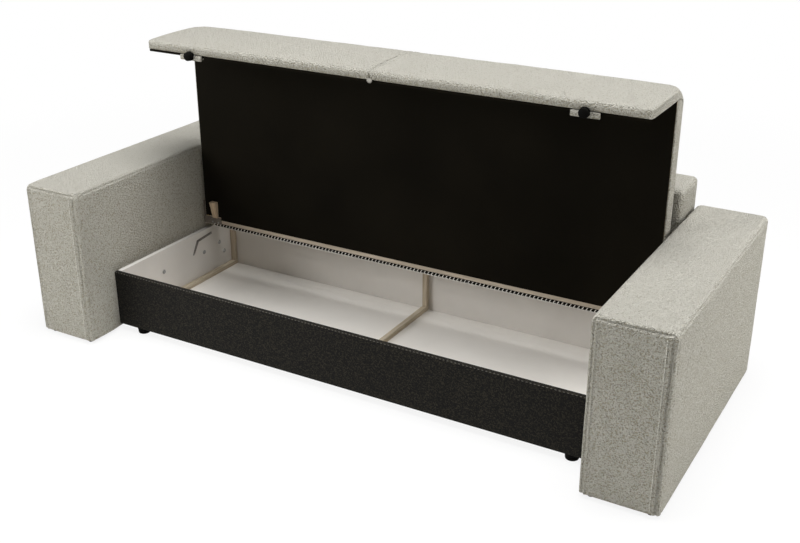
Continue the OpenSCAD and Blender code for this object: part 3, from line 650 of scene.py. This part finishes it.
def bolt_rows(node, label, low, depth, height, shares):
    """The bolts of one CAD node on both walls, at shares of a depth and a height above low."""
    head_r, shank_r = 9 * mm, 4 * mm
    socket_r, washer_t = head_r * 0.42, 1.1 * mm
    wall_in, far_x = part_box("box_right_side")[0].x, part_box(node)[1].x
    length = far_x - wall_in
    outline = [(0, -1.4 * mm), (socket_r, -1.4 * mm), (socket_r, -3.6 * mm), (head_r * 0.6, -3.9 * mm),
               (head_r * 0.82, -3.1 * mm), (head_r * 0.9, -washer_t), (head_r, -washer_t), (head_r, 0),
               (shank_r, 0), (shank_r, length), (0, length)]
    made = []
    for side in (-1, 1):
        for along, up in shares:
            head = Vector((side * wall_in, low.y + depth * along, low.z + height * up))
            bolt = turned("%s_%d" % (label, len(made) + 1), outline, head, Vector((side, 0, 0)), zinc, 30)
            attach(bolt, "base")
            made.append(bolt)
    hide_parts(node)


box_depth, box_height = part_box("box_rear_board")[1].y - front_low.y, front_high.z - front_low.z
bolt_rows("arm_bolts", "arm_bolt", front_low, box_depth, box_height, ((0.35, 0.58), (0.18, 0.23)))
plate_depth, plate_height = 180 * mm, 100 * mm
bolt_rows("hinge_bolts", "hinge_bolt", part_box("right_hinge_plate")[0], plate_depth, plate_height,
          ((0.13, 0.63), (0.86, 0.23), (0.7, 0.73)))


# The bent strap on each wall and its screws. It is a strip of dark steel that
# is screwed on at both ends, in front of the hinge.
dark_steel = metal("dark_steel", (0.19, 0.178, 0.16), (0.14, 0.13, 0.115), 0.6, 0.2)
dress(dark_steel, "wall_straps")
dress(zinc, "strap_screws", "bracket_screws")


# The hinges. A pressed steel plate in each box wall carries the pin, and a
# steel bracket under the seat's rear corner turns on it.
pressed_steel = metal("pressed_steel", (0.19, 0.165, 0.14), (0.14, 0.12, 0.1), 0.55, 0.4)
dress(pressed_steel, "left_hinge_plate", "right_hinge_plate", "left_seat_bracket", "right_seat_bracket")
dress(zinc, "hinge_pins")


# The backrest's frame. Softwood posts and rails are screwed together behind
# the seat, with packing boards between the posts and the arms.
rail_wood = wood("rail_wood", batten_pale, batten_dark, grain_x)
upright_wood = wood("upright_wood", batten_pale, batten_dark, grain_z)
dress(rail_wood, "back_rails")
dress(upright_wood, "back_left_upright", "back_right_upright", "back_packers")


# The backrest's cushion. A foam block is glued over the frame and covered in
# the same boucle, with soft rounded edges and a slightly full front.
def rounded_path(corners, step, steps=6):
    """Points and outward directions round a closed outline of (y, z, radius) corners."""
    arcs = []
    for i, (y, z, radius) in enumerate(corners):
        spot = Vector((y, z))
        way_in = (spot - Vector(corners[i - 1][:2])).normalized()
        way_out = (Vector(corners[(i + 1) % len(corners)][:2]) - spot).normalized()
        turn = math.atan2(way_in.x * way_out.y - way_in.y * way_out.x, way_in.dot(way_out))
        outward = Vector((way_in.y, -way_in.x))
        bend = math.copysign(radius, turn)
        centre = spot - way_in * radius * math.tan(abs(turn) / 2) - outward * bend
        arc = []
        for k in range(steps + 1):
            angle = turn * k / steps
            facing = Vector((outward.x * math.cos(angle) - outward.y * math.sin(angle),
                             outward.x * math.sin(angle) + outward.y * math.cos(angle)))
            arc.append((centre + facing * bend, facing))
        arcs.append(arc)
    points = []
    for arc, following in zip(arcs, arcs[1:] + arcs[:1]):
        start, (stop, facing) = arc[-1][0], following[0]
        count = max(1, round((stop - start).length / step))
        points += arc + [(start.lerp(stop, k / count), facing) for k in range(1, count)]
    return points


def swept_block(name, half_width, outline, end_radius, stations, shaped, material):
    """A closed upholstered form: an outline swept across the sofa, with rolled ends."""
    form = bmesh.new()
    rings = []
    places = {}
    for share_across, angle in stations:
        ring = []
        for spot, facing in outline:
            radius = end_radius(spot, facing)
            reach = (half_width - radius) * share_across
            reach += math.copysign(radius * math.sin(angle), share_across)
            spot = spot - facing * radius * (1 - math.cos(angle))
            point = form.verts.new((reach, spot.x, spot.y))
            places[point] = shaped(reach, spot, facing)
            ring.append(point)
        rings.append(ring)
    join_rows(form, rings)
    ends = [form.faces.new(rings[0]), form.faces.new(reversed(rings[-1]))]
    bmesh.ops.triangulate(form, faces=ends)
    for point, place in places.items():
        point.co = place
    bmesh.ops.recalc_face_normals(form, faces=form.faces)
    return show_form(name, form, material)


def across_stations(half_width, step, seam_lines=(0,)):
    """Stations from the left end to the right, with roll angles at the ends."""
    shares = [line / half_width for line in seam_lines]
    count = round(half_width / step)
    shares += [shares[-1] + (1 - shares[-1]) * i / count for i in range(1, count + 1)]
    right = [(share, 0) for share in shares] + [(1, math.radians(a)) for a in (18, 36, 54, 72, 90)]
    return [(-share, angle) for share, angle in reversed(right) if share > 0] + right


def blown_up(piece, still, end_rings, seamed=False):
    """Air pressure fills the cover as foam does. The still points of its outline,
    the rings at its ends and its seam are held."""
    limit = 5 * mm
    points = piece.data.vertices
    ends = end_rings * len(still)
    held = [i for i in range(len(points)) if still[i % len(still)] or not ends <= i < len(points) - ends
            or seamed and abs(points[i].co.x) < 1e-6]
    flat = [point.co.copy() for point in points]
    piece.vertex_groups.new(name="held").add(held, 1.0, "ADD")
    air = piece.modifiers.new("air", "CLOTH")
    air.settings.quality = 5
    air.settings.mass = 0.3
    air.settings.vertex_group_mass = "held"
    air.settings.use_pressure = True
    air.settings.uniform_pressure_force = 4
    air.settings.effector_weights.gravity = 0
    air.point_cache.frame_start = 1
    air.point_cache.frame_end = 20
    for frame_number in range(1, 21):
        scene.frame_set(frame_number)
    filled = piece.evaluated_get(bpy.context.evaluated_depsgraph_get()).to_mesh()
    moved = [after.co - before for after, before in zip(filled.vertices, flat)]
    piece.modifiers.remove(air)
    scene.frame_set(1)
    for point, before, move in zip(points, flat, moved):
        reach = move.length
        if reach > 0:
            point.co = before + move * (limit * (1 - math.exp(-reach / limit)) / reach)
    piece.vertex_groups.clear()


back_cloth = boucle("back_boucle", arm_pale, arm_shade)
back_low, back_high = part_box("back_cover")
back_edge_r, back_foot_r = 18 * mm, 14 * mm
back_top = back_high.z + 7 * mm
back_corners = [(back_high.y, back_low.z, back_foot_r), (back_high.y, back_top, back_edge_r),
                (back_low.y, back_top, back_edge_r), (back_low.y, back_low.z, back_foot_r)]
back_outline = rounded_path(back_corners, 16 * mm)
back_fullness, back_crown, back_waviness = 1.5 * mm, 2 * mm, 1 * mm


def back_shaped(x, spot, facing):
    """The top crowns a little, the front fills out, and edges stay drawn in."""
    across = 1 - (x / back_high.x) ** 4
    up = (spot.y - back_low.z) / (back_high.z - back_low.z)
    full = across * math.sin(math.pi * kept_in(up))
    crown = max(facing.y, 0) * across
    wave = noise.noise(Vector((x * 5, spot.x * 5, spot.y * 5)))
    push = facing * (back_fullness * full + back_crown * crown + back_waviness * wave * across)
    return Vector((x, spot.x + push.x, spot.y + push.y))


back_cushion = swept_block("backrest_cushion", back_high.x, back_outline, lambda spot, facing: back_edge_r,
                           across_stations(back_high.x, 20 * mm), back_shaped, back_cloth)
blown_up(back_cushion, [facing.x > 0.5 or facing.y < -0.5 for spot, facing in back_outline], 1)
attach(back_cushion, "base")
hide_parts("back_cover", "back_foam")


# The cloth on the lower rear of the backrest. It is one taut panel of the
# same boucle, stapled over a thin board between the two arms.
lower_low, lower_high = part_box("back_lower_cover")
lower_height = lower_high.z - lower_low.z
lower_path = [(lower_high.y - 0.5 * mm, lower_low.z + lower_height * i / 16) for i in range(17)]


def lower_ripple(x, y, z):
    from_edge = kept_in(min(z - lower_low.z, lower_high.z - z) / (50 * mm))
    slack = 1.2 * mm * from_edge * noise.noise(Vector((x * 8, 0, z * 8)))
    return Vector((x, y - slack - 0.8 * mm, z))


lower_back = path_sheet("backrest_lower_panel", lower_low.x, lower_high.x, lower_path, 20 * mm,
                        lower_ripple, back_cloth)
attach(lower_back, "base")
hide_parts("back_lower_cover")


# The seat's frame. Softwood rails run across the seat and along its middle,
# and zigzag springs are stapled between the front and the rear rail.
strip_wood = wood("strip_wood", (0.60, 0.52, 0.42), (0.43, 0.365, 0.285), grain_x)
dress(strip_wood, "seat_rear_rail")
dress(rail_wood, "seat_front_rail")
dress(upright_wood, "seat_centre_rail")
spring_wire = metal("spring_wire", (0.2, 0.2, 0.21), (0.1, 0.1, 0.105), 0.4)
dress(spring_wire, "seat_springs")


# The seat's upholstery. Foam on the frame and on the drop front is covered by
# one boucle cover with large soft edges. A seam down the middle draws it in
# from the rear of the seat to the lip of the drop front.
pin_low, pin_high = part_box("hinge_pins")
pivot = (pin_low + pin_high) / 2


def raised(x, y, z):
    """Turns a point of the closed seat up to the raised seat."""
    return Vector((x, pivot.y + z - pivot.z, pivot.z + pivot.y - y))


seat_low, seat_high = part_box("seat_cover")
flap_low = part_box("drop_front_cover")[0]
seat_rear = pivot.y + pivot.z - seat_low.z
seat_front = pivot.y + pivot.z - seat_high.z
seat_under = pivot.z + seat_low.y - pivot.y
seat_top = pivot.z + seat_high.y - pivot.y
flap_tip = pivot.z + flap_low.y - pivot.y
flap_in = pivot.y + pivot.z - flap_low.z
seat_edge_r = 50 * mm
seat_corner_r = 46 * mm
seat_side_r = 36 * mm
flap_edge_r = 12 * mm
seat_crown = 5 * mm
front_crown = 13 * mm
seat_waviness = 1.2 * mm
lip_round, lip_reach = 24 * mm, 80 * mm
seam_drawn, seam_width = 4.6 * mm, 3 * mm
seam_puff, puff_at, puff_width = 1.2 * mm, 14 * mm, 8 * mm
seat_half = seat_high.x
seat_cloth = boucle("seat_boucle", arm_pale, arm_shade)
frame_side = seat_under + 0.3 * mm
seat_corners = [
    (seat_rear, frame_side, 3 * mm), (seat_rear, seat_top - seat_crown, seat_edge_r),
    (seat_front, seat_top - seat_crown, seat_edge_r), (seat_front, flap_tip, flap_edge_r),
    (flap_in, flap_tip, flap_edge_r), (flap_in, frame_side, 2 * mm),
]
seat_outline = rounded_path(seat_corners, 15 * mm)
seam_places = [d * mm for d in (0, 1.5, 3, 4.5, 6, 8, 10, 13, 17, 22)]


def seat_outside(spot, facing):
    """True on the faces of the cover that are seen when the seat is shut."""
    if spot.y < flap_tip + flap_edge_r:
        return facing.x < 0.7
    if spot.x < seat_front + 60 * mm:
        return facing.x < 0.5
    return facing.y > -0.5


def seat_end_radius(spot, facing):
    """The front's corners are large rolls, the sides' smaller, the thin drop front's small."""
    if not seat_outside(spot, facing):
        return 3 * mm
    thick = kept_in((spot.y - seat_under) / (48 * mm))
    roll = seat_side_r + (seat_corner_r - seat_side_r) * max(-facing.x, 0)
    thin_roll = flap_edge_r - 2 * mm
    return thin_roll + (roll - thin_roll) * thick


def seat_shaped(x, spot, facing):
    """The top crowns, the front bulges, and the lip's two corners are round."""
    across = 1 - (x / seat_half) ** 6
    along = (spot.x - seat_front) / (seat_rear - seat_front)
    down = (seat_top - spot.y) / (seat_top - flap_tip)
    outside = 1 if seat_outside(spot, facing) else 0
    crown = max(facing.y, 0) * seat_crown * (1 - (2 * along - 1) ** 4)
    bulge = max(-facing.x, 0) * front_crown * math.sin(math.pi * kept_in(down)) ** 0.7 * outside
    wave = noise.noise(Vector((x * 6, spot.x * 6, spot.y * 6)))
    wave += 0.6 * noise.noise(Vector((x * 17, spot.x * 17 + 9, spot.y * 17)))
    push = across * (crown + outside * seat_waviness * wave) + (0.45 + 0.55 * across) * bulge
    before_tip = kept_in(spot.y - flap_tip, 0, lip_round)
    drawn_in = lip_round - math.sqrt(lip_round ** 2 - (lip_round - before_tip) ** 2)
    near_end = kept_in(1 - (seat_half - abs(x)) / lip_reach)
    x -= math.copysign(drawn_in * near_end, x)
    return raised(x, spot.x + facing.x * push, spot.y + facing.y * push)


seat_stations = across_stations(seat_half - seat_corner_r, 17 * mm, seam_places)
seat_cushion = swept_block("seat_upholstery", seat_half, seat_outline, seat_end_radius, seat_stations,
                           seat_shaped, seat_cloth)
seat_seen = [seat_outside(spot, facing) for spot, facing in seat_outline]
blown_up(seat_cushion, [not seen for seen in seat_seen], 5, seamed=True)
for point in seat_cushion.data.vertices:
    if seat_seen[point.index % len(seat_seen)]:
        puff = seam_puff * dent(abs(point.co.x) - puff_at, puff_width)
        point.co -= point.normal * (seam_drawn * dent(point.co.x, seam_width) - puff)
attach(seat_cushion, "seat")
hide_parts("seat_cover", "seat_foam", "drop_front_cover", "drop_front_foam")


# The overlocked edge of the cover. Where the boucle turns under the rear rail
# its cut edge is bound with a row of slanted thread, so it doesn't fray.
rail_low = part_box("seat_rear_rail")[0]
edge_step = 15.5 * mm
edge_low = rail_low.z - 4 * mm
edge_reach = 934 * mm
edge_thread_r = 1.9 * mm
slant_y, dash_y, dash_z = rail_low.y - 2.6 * mm, rail_low.y - 2.4 * mm, edge_low - 6.5 * mm
binding = bmesh.new()
for i in range(round(2 * edge_reach / edge_step)):
    x = -edge_reach + edge_step * i
    slant = (Vector((x, slant_y, edge_low - 5 * mm)), Vector((x + 8 * mm, slant_y, edge_low + 6 * mm)))
    dash = (Vector((x - 2 * mm, dash_y, dash_z)), Vector((x + 12 * mm, dash_y, dash_z)))
    for start, stop in (slant, dash):
        strand(binding, start, stop, Vector((0, 1, 0)), edge_thread_r, tip=0.3, corners=6, flat=0.7)
bmesh.ops.recalc_face_normals(binding, faces=binding.faces)
edge_binding = show_form("edge_binding", binding, thread("binding_thread", (0.8, 0.78, 0.73)))
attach(edge_binding, "seat")


# The black cloth under the seat. A matt spunbonded cloth is pulled tight over
# the frame and stapled round its edge, cut away at the blocks and brackets.
black_cloth, tree = new_material("black_spunbond", Roughness=0.9, Specular_IOR_Level=0.05)
fibre = pattern(tree, "Noise", 520, Detail=4).outputs["Fac"]
cloud = pattern(tree, "Noise", 2.2, Detail=3).outputs["Fac"]
coloured(tree, combined(tree, "MULTIPLY", fibre, cloud), (0.0034, 0.0028, 0.0016), (0.0104, 0.0086, 0.0052),
         low_at=0.12, high_at=0.45)
embossed(tree, fibre, strength=0.25, distance=0.0006)


def hem_waved(x, y, z):
    return Vector((x, y, z + 0.5 * mm * noise.noise(Vector((x * 30, 1, 1)))))


# The hem is a strip of the black cloth along the rear rail's lower edge; it also stands for the painted
# shadow in the gap under the rail.
hem_xs = lines(-edge_reach, edge_reach, 30 * mm)
hem_ys = [rail_low.y - 1.4 * mm, rail_low.y - 0.2 * mm]
hem_zs = [edge_low + d * mm for d in (-6, -2, 2, 6)]
hem_and_painted_shadow = box_skin("underside_hem_and_shadow", hem_xs, hem_ys, hem_zs, hem_waved, black_cloth)
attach(hem_and_painted_shadow, "seat")
under_low, under_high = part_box("seat_underside_cloth")
block_low, block_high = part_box("filler_blocks")
block_inner = 907 * mm
flange_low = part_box("right_seat_bracket")[0]
flange_top = flange_low.z + 35 * mm
cut_xs = [side * x for side in (-1, 1) for x in (flange_low.x, block_inner, block_high.x)]
cloth_xs = [round(x, 5) for x in lines(under_low.x, under_high.x, 24 * mm)] + cut_xs
cloth_zs = [round(z, 5) for z in lines(under_low.z, under_high.z, 24 * mm)] + [flange_top, block_high.z]
cloth_xs, cloth_zs = sorted(set(cloth_xs)), sorted(set(cloth_zs))
under_form = bmesh.new()
under_points = {}


def under_point(x, z):
    """The cloth's point at a place of the grid, a little slack away from the edges."""
    if (x, z) not in under_points:
        from_edge = kept_in(min(under_high.x - abs(x), under_high.z - z, z - under_low.z) / (60 * mm))
        slack = noise.noise(Vector((x * 3.5, 2, z * 2.2))) * 1.3 * mm * from_edge
        under_points[x, z] = under_form.verts.new((x, under_low.y - 0.2 * mm + slack, z))
    return under_points[x, z]


for x1, x2 in zip(cloth_xs, cloth_xs[1:]):
    for z1, z2 in zip(cloth_zs, cloth_zs[1:]):
        mid_x, mid_z = abs(x1 + x2) / 2, (z1 + z2) / 2
        at_flange = mid_x > flange_low.x and mid_z < flange_top
        at_block = block_inner < mid_x < block_high.x and mid_z < block_high.z
        if not at_flange and not at_block:
            under_form.faces.new([under_point(x, z) for x, z in ((x1, z1), (x2, z1), (x2, z2), (x1, z2))])
underside = show_form("underside_cloth", under_form, black_cloth)
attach(underside, "seat")
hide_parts("seat_underside_cloth")


# The drop front's lining. The same black cloth covers the inner side of the
# drop front, from the lip's turned-in boucle up to the seat's frame.
lining_low, lining_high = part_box("drop_front_lining")
lining_depth = lining_high.y - lining_low.y
lining_turn = 8 * mm
lining_path = [(lining_low.y, lining_low.z - turn) for turn in (lining_turn, lining_turn / 2)]
lining_path += [(lining_low.y + lining_depth * i / 12, lining_low.z) for i in range(13)]


def lining_shape(x, y, z):
    from_edge = kept_in(min(y - lining_low.y, lining_high.y - y) / (40 * mm))
    return Vector((x, y, z - 0.2 * mm + 0.9 * mm * from_edge * noise.noise(Vector((x * 4, y * 5, 5)))))


lining = path_sheet("drop_front_lining_cloth", lining_low.x, lining_high.x, lining_path, 20 * mm,
                    lining_shape, black_cloth)
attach(lining, "seat")
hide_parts("drop_front_lining")


# The blocks and feet of the drop front. Two wooden blocks wrapped in boucle
# stand out from the lining near the lip, and each carries a round foot.
def wrapped_block(name, low, high):
    """A block with soft edges that narrows towards the seat."""
    edge_r = 4 * mm
    middle, half = (low + high) / 2, (high - low) / 2
    steps = [-1, -0.94, -0.8, -0.5, -0.2, 0.2, 0.5, 0.8, 0.94, 1]

    def placed(*shares):
        point = Vector([shares[i] * half[i] for i in range(3)])
        core = Vector([kept_in(point[i], edge_r - half[i], half[i] - edge_r) for i in range(3)])
        away = point - core
        if away.length > 0:
            point = core + away.normalized() * edge_r
        back = (point.y + half.y) / (2 * half.y)
        point.x *= 1 - 0.3 * back
        point.z += (half.z - point.z) * 0.25 * back
        return middle + point

    return box_skin(name, steps, steps, steps, placed, seat_cloth)


blocks_low, blocks_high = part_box("foot_blocks")
block_width = 110 * mm
block_trim = 5 * mm
foot_low, foot_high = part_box("drop_front_feet")
foot_z = (foot_low.z + foot_high.z + block_trim) / 2
flap_foot_r = 17.5 * mm
for name, side in (("left", -1), ("right", 1)):
    centre_x = side * (blocks_high.x - block_width / 2)
    half_x = block_width / 2 - block_trim
    block = wrapped_block(name + "_foot_block",
                          Vector((centre_x - half_x, blocks_low.y, blocks_low.z + block_trim)),
                          Vector((centre_x + half_x, blocks_high.y, blocks_high.z + 1 * mm)))
    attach(block, "seat")
    foot(name + "_drop_front_foot", Vector((centre_x, foot_low.y, foot_z)), flap_foot_r,
                          foot_high.y - foot_low.y, Vector((0, 1, 0)), "seat")
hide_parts("foot_blocks")
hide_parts("drop_front_feet")


# The pull tab. A folded piece of pale ribbon is caught in the end of the
# middle seam, under the lip, to lift the seat by.
tab_low, tab_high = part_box("pull_tab")
tab_top = tab_high.z + 9 * mm
tab_droop = 4 * mm
tab_fold_r = 3.5 * mm
tab_front, tab_rear = tab_low.y - 1 * mm, tab_low.y + 5 * mm
tab_profile = [(tab_front, tab_top), (tab_front - 1 * mm, tab_high.z), (tab_front, tab_low.z - 5 * mm)]
tab_profile += [(tab_front + tab_fold_r * (1 - math.cos(a)),
                 tab_low.z - tab_droop + 4 * mm * (1 - math.sin(a)))
                for a in [math.pi * i / 6 for i in range(7)]]
tab_profile += [(tab_rear, tab_low.z - 4 * mm), (tab_rear, tab_top)]


def tab_narrowed(x, y, z):
    """The ribbon is gathered towards its fold."""
    fall = kept_in((tab_high.z - z) / (tab_high.z - tab_low.z + tab_droop))
    return Vector((x * (1 - 0.45 * fall), y, z))


ribbon = thread("pale_ribbon", (0.43, 0.414, 0.362))
tab = path_sheet("pull_tab_ribbon", tab_low.x, tab_high.x, tab_profile, 4 * mm, tab_narrowed, ribbon)
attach(tab, "seat")
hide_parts("pull_tab")


# The filler blocks beside the brackets. Each is a wedge of raw beech, screwed
# under the seat, thick at its far end and thin where the bracket begins.
beech = wood("beech", (0.66, 0.52, 0.36), (0.46, 0.345, 0.225), grain_z)
wedge_thin, wedge_taper, wedge_chamfer, wedge_corner = 8 * mm, 4 * mm, 1.5 * mm, 4 * mm


def filler_block(name, side):
    """A wedge with a chamfered face and clipped upper corners."""
    steps = [0, 0.06, 0.35, 0.65, 0.94, 1]

    def placed(a, b, c):
        """a runs inward to outward, b from the face to the seat, c from low to high."""
        draw_in = wedge_taper * (1 - c)
        x = block_inner + draw_in + (block_high.x - block_inner - 2 * draw_in) * a
        face = block_high.y - wedge_thin - (block_high.y - block_low.y - wedge_thin) * c
        y = face + (block_high.y - face) * b
        z = block_low.z + (block_high.z - block_low.z) * c
        if b == 0 and (a in (0, 1) or c in (0, 1)):
            y += wedge_chamfer
        if c == 1 and a in (0, 1):
            z -= wedge_corner
        return Vector((side * x, y, z))

    wedge = box_skin(name, steps, steps, steps, placed, beech, smooth=False)
    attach(wedge, "seat")
    return wedge


left_wedge = filler_block("left_filler_block", -1)
filler_block("right_filler_block", 1)
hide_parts("filler_blocks")
